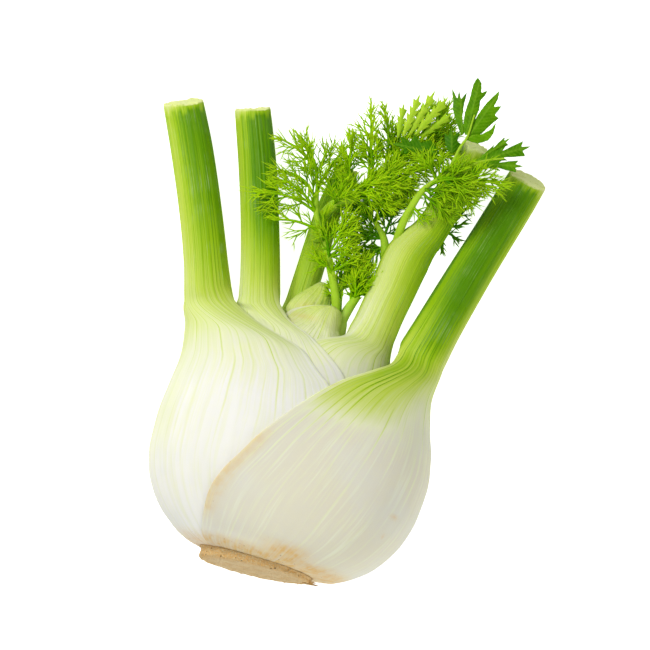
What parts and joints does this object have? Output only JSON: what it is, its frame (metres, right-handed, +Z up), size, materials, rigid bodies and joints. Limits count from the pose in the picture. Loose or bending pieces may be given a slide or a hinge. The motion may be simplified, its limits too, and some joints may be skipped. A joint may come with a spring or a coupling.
{
  "type": "fennel bulb",
  "caption": "Trimmed Florence fennel bulb lying on its back: pale sheaths nested round each other, cut green stalks spreading from the top, feathery fronds between them.",
  "frame": {"origin": "on the surface that the bulb lies on, under the middle of its bounding box", "axes": "+Y along the bulb from the cut root face to the stalks; +X to the bulb's right as seen from above; +Z up out of the surface"},
  "size_m": [0.1538, 0.212, 0.0802],
  "materials": {
    "sheath": "firm, smooth, slightly waxy leaf flesh: ivory at the foot, pale green ribs higher up, grass green stalks, pale wet cut ends",
    "heart": "young folded leaf, yellow-green and satin, with a thin browned margin",
    "root": "dry, rough, corky cut root, tan with dark specks and a browned rim",
    "frond": "soft feathery threads, bright grass green with yellow-green tips",
    "frond_dark": "soft feathery threads, deep green"
  },
  "bodies": {
    "root": {"root_plate": "root", "heart_leaf_back": "heart", "heart_leaf_front": "heart", "leaf_back": "sheath", "leaf_right_inner": "sheath", "leaf_left_inner": "sheath", "leaf_left_outer": "sheath", "leaf_right_outer": "sheath", "frond_left": "frond", "frond_crown": "frond", "frond_fork": "frond", "frond_dark": "frond_dark", "frond_behind": "frond_dark", "frond_heart": "frond"}
  },
  "joints": []
}
